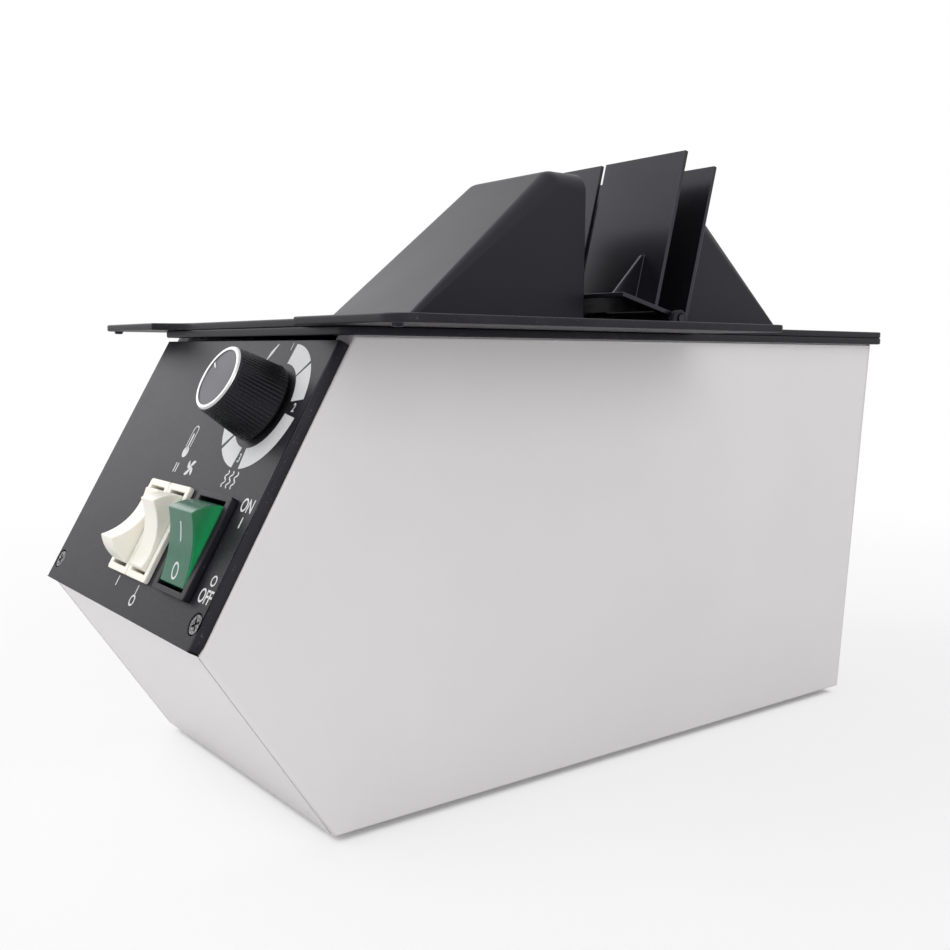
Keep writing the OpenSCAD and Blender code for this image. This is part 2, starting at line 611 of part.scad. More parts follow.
// Flat wire wound round the frame's two inner walls.
module heater_ribbon() color([0.5, 0.5, 0.55]) placed()
    for (x = [-9, 7], z = [heater_z[0] + 1.5:3:heater_z[1] - 2]) difference() {
        translate([x - 0.4, heater_y[0] + 2.3, z]) cube([2.8, heater_y[1] - heater_y[0] - 4.6, 1]);
        translate([x - 0.02, heater_y[0] + 1, z - 1]) cube([2.04, heater_y[1] - heater_y[0] - 2, 3]);
    }
module thermal_cutout() color([0.8, 0.8, 0.8]) placed()
    translate([duct_half + 1, pivot_y - 10, heater_z[0] + 6]) rotate([0, 90, 0]) {
        cylinder(d = 16, h = 8, $fn = 64);
        for (y = [-4, 4]) translate([-0.4, y - 2.4, 8]) cube([0.8, 4.8, 7]);
    }

// ---- Blower ----
scroll_z = foot_h + wrap_t + scroll_up;
scroll_top = heater_z[0];
tongue_r = 32;
scroll_outline = let (c = [scroll_y, scroll_z]) concat(
    [[heater_y[0], scroll_top]],
    [for (i = [0:20]) let (a = 180 + i * 12.5,
        r = (scroll_y - heater_y[0]) * (1 - i / 20) + tongue_r * i / 20) c + r * [cos(a), sin(a)]],
    [[heater_y[1], scroll_z + tongue_r + 3], [heater_y[1], scroll_top]]);
scroll_wall = 1.5;
half_scroll = scroll_w / 2;
module scroll_housing() color(steel) placed() difference() {
    along_x(-half_scroll - scroll_wall, half_scroll) polygon(scroll_outline);
    along_x(-half_scroll, half_scroll + 1)
        polygon(inset(scroll_outline, all_by(24, scroll_wall)));
    translate([-half_scroll, heater_y[0] + scroll_wall, scroll_top - 3])
        cube([scroll_w + 1, heater_y[1] - heater_y[0] - 2 * scroll_wall, 5]);
    translate([-half_scroll - 3, scroll_y, scroll_z]) rotate([0, 90, 0])
        cylinder(d = 16, h = 6, $fn = 64);
}
module scroll_cover() color(steel) placed() difference() {
    union() {
        along_x(half_scroll, half_scroll + scroll_wall) polygon(scroll_outline);
        translate([half_scroll, scroll_y, scroll_z]) rotate([0, 90, 0])
            cylinder(d1 = 46, d2 = 50, h = 5, $fn = 96);
    }
    translate([half_scroll - 1, scroll_y, scroll_z]) rotate([0, 90, 0]) cylinder(d = 42, h = 8, $fn = 96);
}
blade_len = scroll_w - 5;
module impeller() color([0.2, 0.2, 0.22]) placed()
    translate([-half_scroll + 2.5, scroll_y, scroll_z]) rotate([0, 90, 0]) difference() {
        union() {
            cylinder(d = impeller_d, h = 1.6, $fn = 96);
            cylinder(d = 11, h = 14, $fn = 48);
            for (i = [0:blades - 1]) rotate([0, 0, i * 360 / blades])
                translate([impeller_d / 2 - 3.6, 0, 1]) rotate([0, 0, 32])
                    translate([-3.3, -0.5, 0]) cube([6.2, 1, blade_len - 2]);
            translate([0, 0, blade_len - 2]) difference() {
                cylinder(d = impeller_d, h = 2, $fn = 96);
                translate([0, 0, -1]) cylinder(d = impeller_d - 13, h = 4, $fn = 96);
            }
        }
        translate([0, 0, -1]) cylinder(d = shaft_d, h = 20, $fn = 48);
    }
motor_x = -half_scroll - scroll_wall - 1.5;
module motor_shaft() color(steel) placed()
    translate([motor_x - motor_len + 4, scroll_y, scroll_z]) rotate([0, 90, 0])
        cylinder(d = shaft_d, h = motor_len - 4 + 1.5 + scroll_wall + 2.5 + 14, $fn = 48);
module motor() color([0.6, 0.6, 0.62]) placed()
    translate([motor_x - motor_len, scroll_y, scroll_z]) rotate([0, 90, 0]) difference() {
        union() {
            cylinder(d = motor_d - 4, h = 2, $fn = 96);
            translate([0, 0, 1.5]) cylinder(d = motor_d, h = motor_len - 1.5, $fn = 96);
        }
        translate([0, 0, 3]) cylinder(d = shaft_d + 2 * run_fit, h = motor_len, $fn = 48);
    }
module motor_bracket() color(steel) placed() difference() {
    union() {
        translate([motor_x, scroll_y - 30, foot_h + wrap_t]) cube([1.5, 60, scroll_up + 26]);
        translate([motor_x - 20, scroll_y - 30, foot_h + wrap_t]) cube([20.5, 60, 1.5]);
    }
    translate([motor_x - 1, scroll_y, scroll_z]) rotate([0, 90, 0]) cylinder(d = 12, h = 4, $fn = 48);
}

// ---- Electrics ----
board_z = foot_h + wrap_t + post_h;
board_front = 14;
board_t = 1.6;
module control_board() color([0.15, 0.4, 0.2]) placed() translate([0, board_front, board_z]) {
    translate([-board_w / 2, 0, 0]) cube([board_w, board_d, board_t]);
    for (x = [-30, -16]) translate([x, 16, board_t / 2]) cylinder(d = 10, h = 18, $fn = 48);
    translate([0, 10, board_t / 2]) cube([18, 14, 16]);
    translate([-34, 46, board_t / 2]) cube([26, 10, 9]);
}
sink_fins = 6;
module heat_sink() color([0.75, 0.76, 0.78]) placed() translate([4, board_front + 32, board_z + board_t]) {
    cube([32, 3, 26]);
    for (i = [0:sink_fins - 1]) translate([i * 6, 2.9, 0]) cube([1.6, 14, 26]);
}
module board_posts() color(steel) placed()
    for (x = [4 - board_w / 2, board_w / 2 - 4], y = [4, board_d - 4])
        translate([x, board_front + y, foot_h + wrap_t]) cylinder(d = 6, h = post_h, $fn = 32);
module terminal_block() color([0.9, 0.9, 0.88]) placed()
    translate([-block_w - 20, box_top_len - 50.5, foot_h + wrap_t]) difference() {
        cube([block_w, block_l, block_h]);
        for (i = [0:2]) translate([block_w / 2, block_l / 6 + i * block_l / 3, 6])
            cylinder(d = 5, h = block_h, $fn = 32);
    }
module cord_bush() color(black) placed() on_back(-bush_x, bush_up) difference() {
    union() {
        translate([0, 0, -wrap_t - 6]) cylinder(d = bush_bore + 4, h = wrap_t + 6.5, $fn = 64);
        cylinder(d = bush_bore + 9, h = 3, $fn = 64);
        translate([0, 0, -wrap_t - 4]) cylinder(d = bush_bore + 9, h = 4, $fn = 6);
    }
    translate([0, 0, -20]) cylinder(d = bush_bore, h = 30, $fn = 64);
}

base_wrap();
side_panel_left();
side_panel_right();
feet();
foot_screws();
control_panel();
panel_screws();
top_deck();
hood_plate();
deck_screws();
front_hood();
rear_hood();
outlet_screen();
deflector_right();
deflector_left();
pivot_rod();
heat_knob();
knob_ring();
pot_shaft();
pot_body();
pot_nut();
left_switch_body();
left_rocker();
right_switch_body();
right_rocker();
power_switch_body();
power_rocker();
power_lamp();
air_duct();
heater_frame();
heater_ribbon();
thermal_cutout();
scroll_housing();
scroll_cover();
impeller();
motor_shaft();
motor();
motor_bracket();
control_board();
heat_sink();
board_posts();
terminal_block();
cord_bush();
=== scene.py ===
"""Hot air warmer for eyeglass frames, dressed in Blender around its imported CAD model.

A white steel box with a slanted black control panel carries a black deck, on which
two moulded hoods face each other over the air outlet with its tilting vanes.
Metres, in the frame of the CAD model: +X right, +Y back, +Z up, the table is z = 0.
"""

import json
from math import asin, atan2, cos, pi, radians, sin

import bmesh
import bpy
from mathutils import Matrix, Vector
from mathutils.bvhtree import BVHTree


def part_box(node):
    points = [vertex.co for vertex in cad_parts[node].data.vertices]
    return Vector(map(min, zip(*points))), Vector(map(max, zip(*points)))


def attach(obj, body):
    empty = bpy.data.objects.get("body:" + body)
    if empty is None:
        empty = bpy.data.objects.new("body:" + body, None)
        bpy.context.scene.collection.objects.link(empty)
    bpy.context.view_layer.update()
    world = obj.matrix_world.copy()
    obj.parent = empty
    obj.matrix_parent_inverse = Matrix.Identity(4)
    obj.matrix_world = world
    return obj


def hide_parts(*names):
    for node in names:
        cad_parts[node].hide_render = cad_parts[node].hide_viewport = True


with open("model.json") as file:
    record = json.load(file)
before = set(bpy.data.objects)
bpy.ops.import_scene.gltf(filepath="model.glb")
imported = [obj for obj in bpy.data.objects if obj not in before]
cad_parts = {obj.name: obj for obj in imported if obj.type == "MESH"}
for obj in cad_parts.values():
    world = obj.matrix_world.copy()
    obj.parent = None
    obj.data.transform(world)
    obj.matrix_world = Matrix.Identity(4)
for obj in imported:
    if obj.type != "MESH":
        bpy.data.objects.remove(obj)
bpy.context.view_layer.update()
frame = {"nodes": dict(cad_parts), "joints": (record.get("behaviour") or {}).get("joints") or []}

# ---- Camera ----
# The photograph is taken from the front right, from just under the deck's height
# and close by, so the panel and the right side both run away from it.
YAW, PITCH, ROLL = radians(-52.44), radians(-6.38), radians(0.40)
FOCAL_PX, FRAME_PX, SENSOR_MM = 1091.77, 950, 36
NEAREST = 0.01
DECK_BACK_TO_FRONT = 0.2547          # deck's back edge to the box's top front edge
EYE_RIGHT, EYE_UP, EYE_AHEAD = 0.3246, 0.14194, 0.15973
top_front_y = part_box("top_deck")[1].y - DECK_BACK_TO_FRONT
ahead = Vector((sin(YAW) * cos(PITCH), cos(YAW) * cos(PITCH), sin(PITCH)))
level = Vector((cos(YAW), -sin(YAW), 0))
above = level.cross(ahead)
right = level * cos(ROLL) + above * sin(ROLL)
up = above * cos(ROLL) - level * sin(ROLL)
lens = bpy.data.cameras.new("camera")
lens.sensor_width = SENSOR_MM
lens.lens = FOCAL_PX / FRAME_PX * SENSOR_MM
lens.clip_start = NEAREST
camera = bpy.data.objects.new("camera", lens)
bpy.context.scene.collection.objects.link(camera)
turn = Matrix((right, up, -ahead)).transposed().to_4x4()
eye = Vector((EYE_RIGHT, top_front_y - EYE_AHEAD, EYE_UP))
camera.matrix_world = Matrix.Translation(eye) @ turn
bpy.context.scene.camera = camera

# ---- Steel box ----
# One folded white sheet makes the lower front, the bottom and the back; two side
# panels with folded rims close it. Powder coated: satin, with a fine orange peel.
WHITE_PAINT = (0.74, 0.715, 0.725), (0.80, 0.775, 0.785)
# Near black for the wrap's cut ends: painted shade in the seams.
CUT_END_PAINTED_SHADE = (0.004, 0.004, 0.004), (0.012, 0.012, 0.012)
WRAP_EDGE, SIDE_SHEET, SEAM = 0.0003, 0.0012, 0.0009
FOLD, FOLD_STEPS = 0.0011, 3
ONE_CORNER, ON_PLANE = 2e-6, 1e-5    # corners this close are one, or lie on one plane
FLAT, SHARP, CREASE = radians(0.6), radians(32), radians(50)
EDGE_STEPS = 2
SIDEWAYS = 0.9                       # a normal with this much x belongs to a flank


class Wire:
    """A shader socket that can be used in an expression."""

    def __init__(self, socket):
        self.socket = socket

    def node(self, kind, sockets, out=0, **settings):
        """Adds a node of this kind to the same tree and returns one output of it."""
        tree = self.socket.id_data
        made = tree.nodes.new(kind)
        for name, value in settings.items():
            setattr(made, name, value)
        for name, value in sockets.items():
            if isinstance(value, Wire):
                tree.links.new(value.socket, made.inputs[name])
            else:
                made.inputs[name].default_value = value
        return Wire(made.outputs[out])

    def math(self, operation, a, b=0.0):
        return self.node("ShaderNodeMath", {0: a, 1: b}, operation=operation)

    def __add__(self, other):
        return self.math("ADD", self, other)

    def __sub__(self, other):
        return self.math("SUBTRACT", self, other)

    def __rsub__(self, other):
        return self.math("SUBTRACT", other, self)

    def __mul__(self, other):
        return self.math("MULTIPLY", self, other)

    __radd__, __rmul__ = __add__, __mul__

    def between(self, low, high):
        """0 below low, 1 above high, smooth in between."""
        return self.node("ShaderNodeMapRange", {"Value": self, "From Min": low, "From Max": high},
                         interpolation_type="SMOOTHSTEP")

    def blend(self, first, second):
        """Mixes two colours by this value; 6, 7 and 2 are the node's colour sockets."""
        def shade(colour):
            return colour if isinstance(colour, Wire) else (*colour, 1)
        return self.node("ShaderNodeMix", {0: self, 6: shade(first), 7: shade(second)},
                         out=2, data_type="RGBA")

    def noise(self, size, detail=2.0):
        """Noise whose blotches are about this size in metres; self is a position."""
        return self.node("ShaderNodeTexNoise",
                         {"Vector": self, "Scale": 1 / size, "Detail": detail})

    def bump(self, height, strength=1.0):
        """Normal of a relief of this height in metres."""
        return self.node("ShaderNodeBump",
                         {"Height": self, "Strength": strength, "Distance": height})


def material(name, pattern=None, **values):
    """A Principled material; pattern(place) gives the sockets that vary over it."""
    made = bpy.data.materials.new(name)
    made.use_nodes = True
    tree = made.node_tree
    shader = tree.nodes["Principled BSDF"]
    for key, value in values.items():
        shader.inputs[key.replace("_", " ")].default_value = value
    if pattern:
        place = Wire(tree.nodes.new("ShaderNodeTexCoord").outputs["Object"])
        for key, wire in pattern(place).items():
            tree.links.new(wire.socket, shader.inputs[key])
    return made


def finished(shape, name, body, slot, *finishes, replaced=None):
    """Turns a bmesh into a visible piece that rides on a body."""
    for face in shape.faces:
        face.smooth = True
    for edge in shape.edges:
        edge.smooth = edge.is_manifold and edge.calc_face_angle() < CREASE
    mesh = bpy.data.meshes.new(name)
    shape.to_mesh(mesh)
    shape.free()
    for finish in finishes:
        mesh.materials.append(finish)
    piece = bpy.data.objects.new(name, mesh)
    bpy.context.scene.collection.objects.link(piece)
    weights = piece.modifiers.new("even_normals", "WEIGHTED_NORMAL")
    weights.keep_sharp = True
    if replaced:
        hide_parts(replaced)
    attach(piece, body)
    return piece


def rounded(shape, edges, width, steps):
    """Rounds these edges of a bmesh."""
    bmesh.ops.bevel(shape, geom=edges, offset=width, segments=steps, profile=0.5,
                    affect="EDGES", clamp_overlap=False, material=-1)


def softened(name, body, slot, finish, width, reshape=None, sharp=SHARP):
    """Stands for a CAD node: the same solid with its sharp edges rounded."""
    shell = bmesh.new()
    shell.from_mesh(frame["nodes"][name].data)
    bmesh.ops.remove_doubles(shell, verts=shell.verts, dist=ONE_CORNER)
    bmesh.ops.dissolve_limit(shell, angle_limit=FLAT, verts=shell.verts, edges=shell.edges)
    if reshape:
        for corner in shell.verts:
            reshape(corner.co)
    edges = [e for e in shell.edges if e.is_manifold and e.calc_face_angle() > sharp]
    rounded(shell, edges, width, EDGE_STEPS)
    bmesh.ops.recalc_face_normals(shell, faces=shell.faces)
    return finished(shell, f"{name}_finished", body, slot, finish, replaced=name)


def pulled_out(shape, corners, way):
    """Adds a solid: the flat face between these corners, extruded along way."""
    face = shape.faces.new([shape.verts.new(corner) for corner in corners])
    grown = bmesh.ops.extrude_face_region(shape, geom=[face])
    bmesh.ops.translate(shape, vec=way,
                        verts=[v for v in grown["geom"] if isinstance(v, bmesh.types.BMVert)])
    bmesh.ops.recalc_face_normals(shape, faces=shape.faces)


def second_finish_on_flanks(piece):
    """The faces that look sideways take the second of the piece's finishes."""
    for face in piece.data.polygons:
        face.material_index = int(abs(face.normal.x) > SIDEWAYS)


def dress(finish, *names):
    """Gives CAD nodes that keep their mesh a finish."""
    for name in names:
        for held in frame["nodes"][name].material_slots:
            held.material = finish


def coat_of_paint(place):
    peel = place.noise(size=0.0011, detail=1.5)
    cloud = place.noise(size=0.06, detail=3.0)
    return {"Base Color": cloud.blend(*WHITE_PAINT),
            "Roughness": 0.30 + 0.10 * cloud + 0.05 * peel,
            "Normal": peel.bump(height=0.00006, strength=0.5)}


# Painted shade: near black with a faint mottle, standing in for the dark inside of the seams.
def cut_end_painted_shade(place):
    scale = place.noise(size=0.0008, detail=3.0)
    return {"Base Color": scale.blend(*CUT_END_PAINTED_SHADE), "Roughness": 0.7 + 0.2 * scale}


paint = material("white_paint_coat", coat_of_paint, Coat_Weight=0.15, Coat_Roughness=0.2)
side_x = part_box("side_panel_right")[1].x
wrap_low, wrap_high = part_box("base_wrap")
wrap_corners = [v.co for v in frame["nodes"]["base_wrap"].data.vertices]
bottom_corners = [c for c in wrap_corners if c.z < wrap_low.z + ON_PLANE]
nose = min(wrap_corners, key=lambda c: c.y)
toe = min(bottom_corners, key=lambda c: c.y)
heel = max(bottom_corners, key=lambda c: c.y)
outline = [(top_front_y, wrap_high.z), (nose.y, nose.z), (toe.y, toe.z), (heel.y, heel.z),
           (wrap_high.y, wrap_high.z)]


def between_sides(corner):
    """The wrap ends just inside the side sheets."""
    reach = side_x - SIDE_SHEET - SEAM
    corner.x = max(-reach, min(reach, corner.x))


def on_side(corner):
    return abs(corner.x) > side_x - ON_PLANE


wrap = softened("base_wrap", "warmer", "white_paint", paint, WRAP_EDGE, reshape=between_sides)
# Painted shade: the wrap's cut ends, deep in the seams, are coloured near black so the seams show
# as dark lines.
wrap.data.materials.append(material("cut_end_painted_shade_black", cut_end_painted_shade))
second_finish_on_flanks(wrap)
for side, way in (("left", -1), ("right", 1)):
    sheet = bmesh.new()
    pulled_out(sheet, [(way * side_x, *corner) for corner in outline],
               (-way * SIDE_SHEET, 0, 0))
    rounded(sheet, [e for e in sheet.edges if all(on_side(v.co) for v in e.verts)],
            FOLD, FOLD_STEPS)
    # The folded rim is the CAD panel's own; its face moves back into the sheet.
    ours = len(sheet.verts)
    sheet.from_mesh(frame["nodes"][f"side_panel_{side}"].data)
    sheet.verts.ensure_lookup_table()
    for corner in sheet.verts[ours:]:
        if on_side(corner.co):
            corner.co.x = way * (side_x - SIDE_SHEET / 2)
    bmesh.ops.remove_doubles(sheet, verts=sheet.verts, dist=ONE_CORNER)
    finished(sheet, f"side_panel_{side}_finished", "warmer", "white_paint", paint,
             replaced=f"side_panel_{side}")

# ---- Feet ----
# Four black rubber pads under the bottom sheet, each held by a steel screw that
# sits deep in its well, clear of the table.
FOOT_EDGE = 0.0003
BLACK_RUBBER = (0.012, 0.012, 0.012), (0.03, 0.03, 0.03)
BRIGHT_STEEL = (0.50, 0.50, 0.51), (0.66, 0.66, 0.67)
DRAWN = (400, 400, 6000)             # streaks per metre, finest along z


def rubber_skin(place):
    grain = place.noise(size=0.0004)
    return {"Base Color": grain.blend(*BLACK_RUBBER), "Roughness": 0.7 + 0.2 * grain,
            "Normal": grain.bump(height=0.00005, strength=0.6)}


def rolled_steel(place):
    drawn = place.node("ShaderNodeMapping", {"Vector": place, "Scale": DRAWN})
    streak = drawn.noise(size=1.0, detail=3.0)
    return {"Base Color": streak.blend(*BRIGHT_STEEL), "Roughness": 0.25 + 0.15 * streak,
            "Normal": streak.bump(height=0.00001, strength=0.4)}


rubber = material("black_rubber_skin", rubber_skin)
steel = material("bright_steel_drawn", rolled_steel, Metallic=1.0)
softened("feet", "warmer", "black_rubber", rubber, FOOT_EDGE)
dress(steel, "foot_screws")

# ---- Deck ----
# A black moulded plate overhangs the box; a second plate on it widens into two wings.
# Both have a fine moulded grain, and bright steel screws hold them down.
DECK_EDGE = 0.0005
BLACK_GRAIN = (0.008, 0.0075, 0.0095), (0.014, 0.013, 0.016)
DUST = (0.30, 0.30, 0.31)
DARK_SHEEN = (0.88, 0.85, 1.0, 1)


def moulded_grain(place):
    grain = place.noise(size=0.00045, detail=2.5)
    wear = place.noise(size=0.012, detail=4.0).between(low=0.50, high=0.72)
    dust = place.noise(size=0.0007, detail=0.0).between(low=0.77, high=0.81)
    return {"Base Color": (dust * 0.12).blend(wear.blend(*BLACK_GRAIN), DUST),
            "Roughness": 0.42 + 0.08 * grain + 0.03 * wear,
            "Normal": grain.bump(height=0.00008, strength=0.55)}


moulding = material("black_moulding_grain", moulded_grain, Specular_IOR_Level=0.27,
                    Specular_Tint=DARK_SHEEN)
for name in ("top_deck", "hood_plate"):
    softened(name, "warmer", "black_moulding", moulding, DECK_EDGE)
dress(steel, "deck_screws")

# ---- Hoods ----
# Two black injection moulded shells with a smooth satin skin. They stand open
# towards each other over the outlet, where a punched steel screen lets the air up.
HOOD_EDGE, HOOD_SHARP = 0.0004, radians(40)
BLACK_SATIN = (0.010, 0.009, 0.012), (0.016, 0.015, 0.019)
ZINC = (0.45, 0.46, 0.48), (0.66, 0.67, 0.69)
SPANGLES = 260                       # zinc crystals per metre


def satin_skin(place):
    flow = place.noise(size=0.02)
    grain = place.noise(size=0.0006)
    return {"Base Color": flow.blend(*BLACK_SATIN),
            "Roughness": 0.33 + 0.08 * flow + 0.05 * grain,
            "Normal": grain.bump(height=0.00005, strength=0.35)}


def zinc_spangle(place):
    cells = place.node("ShaderNodeTexVoronoi", {"Vector": place, "Scale": SPANGLES}, out=1)
    shade = cells.node("ShaderNodeSeparateColor", {"Color": cells})
    return {"Base Color": shade.blend(*ZINC), "Roughness": 0.32 + 0.18 * shade}


satin = material("black_hood_satin", satin_skin, Specular_IOR_Level=0.27,
                 Specular_Tint=DARK_SHEEN)
zinc = material("duct_steel_zinc", zinc_spangle, Metallic=1.0)
for name in ("front_hood", "rear_hood"):
    softened(name, "warmer", "black_hood", satin, HOOD_EDGE, sharp=HOOD_SHARP)
dress(zinc, "outlet_screen")

# ---- Deflectors ----
# Two separate pairs of glossy black vanes tilt on one blackened rod. Each pair is one
# moulding: a base, two upright vanes and a gusset, with a knuckle round the rod.
VANE_EDGE = 0.0003
BLACK_POLISH = (0.006, 0.006, 0.009), (0.011, 0.011, 0.015)


def polished_skin(place):
    flow = place.noise(size=0.015)
    rub = place.noise(size=0.02)
    return {"Base Color": flow.blend(*BLACK_POLISH), "Roughness": 0.22 + 0.08 * rub,
            "Normal": flow.bump(height=0.0002, strength=0.15)}


gloss = material("black_gloss_polish", polished_skin, Specular_IOR_Level=0.36,
                 Specular_Tint=DARK_SHEEN, Coat_Weight=0.1, Coat_Roughness=0.15)
for side in ("right", "left"):
    softened(f"deflector_{side}", f"{side}_vanes", "black_gloss", gloss, VANE_EDGE)
dress(gloss, "pivot_rod")

# ---- Control panel ----
# One black moulding covers the slanted front. It is held by two cross-head screws
# in round recesses, and its marks are printed on the face in white ink.
MM = 0.001                           # places on the panel are in mm
KNOB_V = 25                          # knob axis, down the slant from the box's top edge
PANEL_EDGE = 0.0003
EDGE_FROM, EDGE_TO, FLUSH = 0.0620, 0.0603, 0.0615
SLACK = 1e-6
OXIDE = (0.08, 0.08, 0.085), (0.40, 0.40, 0.41)
WHITE_INK = (0.56, 0.56, 0.58), (0.80, 0.80, 0.81)
INK = 0.04                           # thickness of the printed layer, mm
RAY_FROM, LIFT = 0.04, 1e-5          # a ray's start over the face, and off what it hits
dial = next(j for j in frame["joints"] if j["name"] == "heat_dial")
dial_foot, panel_out = Vector(dial["pos_m"]), Vector(dial["axis"]).normalized()
panel_up = panel_out.cross(Vector((1, 0, 0))).normalized()
panel_turn = Matrix((Vector((1, 0, 0)), panel_up, panel_out)).transposed().to_4x4()
panel_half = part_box("control_panel")[1].x


def on_panel(x, v, height=0.0):
    """Point of the panel's face: x from the middle, v down the slant, in mm."""
    return (dial_foot + Vector((x * MM - dial_foot.x, 0, 0))
            - panel_up * (v - KNOB_V) * MM + panel_out * height * MM)


def set_on_panel(shape, foot):
    """Turns a shape that was made along +z, to stand out of the panel at foot."""
    bmesh.ops.transform(shape, verts=shape.verts,
                        matrix=Matrix.Translation(foot) @ panel_turn)


def arc(x, v, radius, start, end, steps=16):
    """Points of an arc; angles in degrees, clockwise from up the slant."""
    turns = [radians(start + (end - start) * i / steps) for i in range(steps + 1)]
    return [(x + radius * sin(t), v - radius * cos(t)) for t in turns]


def stroke(sheet, points, width, carrier=None):
    """Adds an inked line to sheet: points as (x, v) in mm, width in mm or per point.

    A carrier is the BVH tree of a surface over the panel that takes the line instead.
    """
    widths = width if isinstance(width, list) else [width] * len(points)
    rows = []
    for (x, v), before, after, wide in zip(points, points[:1] + points,
                                           points[1:] + points[-1:], widths):
        along = Vector((after[0] - before[0], after[1] - before[1])).normalized()
        side = Vector((along.y, -along.x)) * wide / 2
        row = []
        for way in (-1, 1):
            spot = on_panel(x + way * side.x, v + way * side.y)
            if carrier:
                hit, normal, *_ = carrier.ray_cast(spot + panel_out * RAY_FROM, -panel_out)
                spot = hit + normal * LIFT
            row.append(sheet.verts.new(spot))
        rows.append(row)
    for (a, b), (c, d) in zip(rows, rows[1:]):
        face = sheet.faces.new((a, b, d, c))
        face.normal_update()
        if face.normal.dot(panel_out) < 0:
            face.normal_flip()


def printed(sheet, name, body):
    """Makes the inked lines a thin solid layer."""
    bmesh.ops.remove_doubles(sheet, verts=sheet.verts, dist=ONE_CORNER)
    piece = finished(sheet, name, body, "pale_block", ink)
    layer = piece.modifiers.new("ink", "SOLIDIFY")
    layer.thickness, layer.offset = INK * MM, 1.0
    piece.modifiers.move(1, 0)


def flush_sides(corner):
    """The panel's rounded long edges end flush with the box's sides."""
    over = abs(corner.x) - EDGE_FROM
    if over > -SLACK:
        reach = EDGE_TO + over * (FLUSH - EDGE_TO) / (panel_half - EDGE_FROM)
        corner.x = reach if corner.x > 0 else -reach


def ink_film(place):
    worn = place.noise(size=0.0005, detail=3.0)
    return {"Base Color": worn.blend(*WHITE_INK), "Roughness": 0.45 + 0.2 * worn}


def black_oxide(place):
    worn = place.noise(size=0.0006, detail=4.0).between(low=0.45, high=0.70)
    return {"Base Color": worn.blend(*OXIDE), "Roughness": 0.35 + 0.15 * worn}


ink = material("white_ink", ink_film)
softened("control_panel", "warmer", "black_moulding", moulding, PANEL_EDGE,
         reshape=flush_sides)
dress(material("panel_screw_oxide", black_oxide, Metallic=1.0), "panel_screws")

# Scale round the knob: six bands, and a wedge and a dot where it starts.
SCALE_OUT, SCALE_IN, BAND_STEPS = 20.45, 13.9, 24
BANDS = (4, 43), (46, 82), (98, 174), (186, 222), (226, 262), (278, 318)
WEDGE, WEDGE_WIDTHS = [(26.6, 4.6), (24.6, 7.6), (23.4, 10.2)], [0.5, 1.5, 0.3]
DOT_X, DOT_V, DOT_R, DOT_STEPS = 21.9, 11.2, 0.3, 12
marks = bmesh.new()
for start, end in BANDS:
    middle = arc(dial_foot.x / MM, KNOB_V, (SCALE_OUT + SCALE_IN) / 2, start, end, BAND_STEPS)
    stroke(marks, middle, SCALE_OUT - SCALE_IN)
stroke(marks, WEDGE, WEDGE_WIDTHS)
stroke(marks, arc(DOT_X, DOT_V, DOT_R, 0, 360, DOT_STEPS), 2 * DOT_R)

# A thermometer: its bulb, its column, and the tube round the column.
BULB_V, BULB_R, BULB_WIDTH = 43.2, 1.0, 1.9
COLUMN_FROM, COLUMN_TO, COLUMN_WIDTH = 42.5, 36.8, 0.9
TUBE_X, TUBE_V, TUBE_END, TUBE_R = -0.7, 35.8, 41.4, 1.6
TUBE_STEPS, TUBE_WIDTH = 10, 0.4
stroke(marks, arc(TUBE_X, BULB_V, BULB_R, 0, 360), BULB_WIDTH)
stroke(marks, [(TUBE_X, COLUMN_FROM), (TUBE_X, COLUMN_TO)], COLUMN_WIDTH)
stroke(marks, [(TUBE_X - TUBE_R, TUBE_END), (TUBE_X - TUBE_R, TUBE_V)]
       + arc(TUBE_X, TUBE_V, TUBE_R, -90, 90, TUBE_STEPS)
       + [(TUBE_X + TUBE_R, TUBE_END)], TUBE_WIDTH)

# Warm air: three wavy lines.
WAVES_X, WAVE_V, WAVE_STEP, WAVE_STEPS = (34.2, 37.2, 40.2), 46.3, 0.26, 20
WAVE_SWING, STEPS_PER_HALF, WAVE_WIDTH = 0.7, 5, 0.55
for x in WAVES_X:
    stroke(marks, [(x + WAVE_SWING * sin(i * pi / STEPS_PER_HALF), WAVE_V + i * WAVE_STEP)
                   for i in range(WAVE_STEPS + 1)], WAVE_WIDTH)

# A fan with four swept blades; the sweep is in degrees per mm.
FAN_X, FAN_V, SWEEP = 8.1, 48.0, 14
BLADE_RADII, BLADE_WIDTHS = (0, 0.8, 1.6, 2.4, 3.2), [0.5, 1.1, 1.5, 1.3, 0.4]
for quarter in (0, 90, 180, 270):
    turns = [radians(quarter + SWEEP * r) for r in BLADE_RADII]
    stroke(marks, [(FAN_X + r * sin(t), FAN_V - r * cos(t))
                   for r, t in zip(BLADE_RADII, turns)], BLADE_WIDTHS)

# Bars and rings beside the switches. A bar is x, top and width; a ring is x, middle,
# radius, width and steps.
BAR = 3.2
BARS = ((-2.8, 47.1, 0.6), (-1.2, 47.1, 0.6), (-2.8, 85.9, 0.6), (13.5, 86.2, 0.5),
        (55.3, 58.4, 0.6))
RINGS = (13.5, 91.0, 1.5, 0.6, 20), (56.2, 77.0, 1.35, 0.5, 24)
for x, top, width in BARS:
    stroke(marks, [(x, top), (x, top + BAR)], width)
for x, v, radius, width, steps in RINGS:
    stroke(marks, arc(x, v, radius, 0, 360, steps), width)
printed(marks, "panel_marks", "warmer")

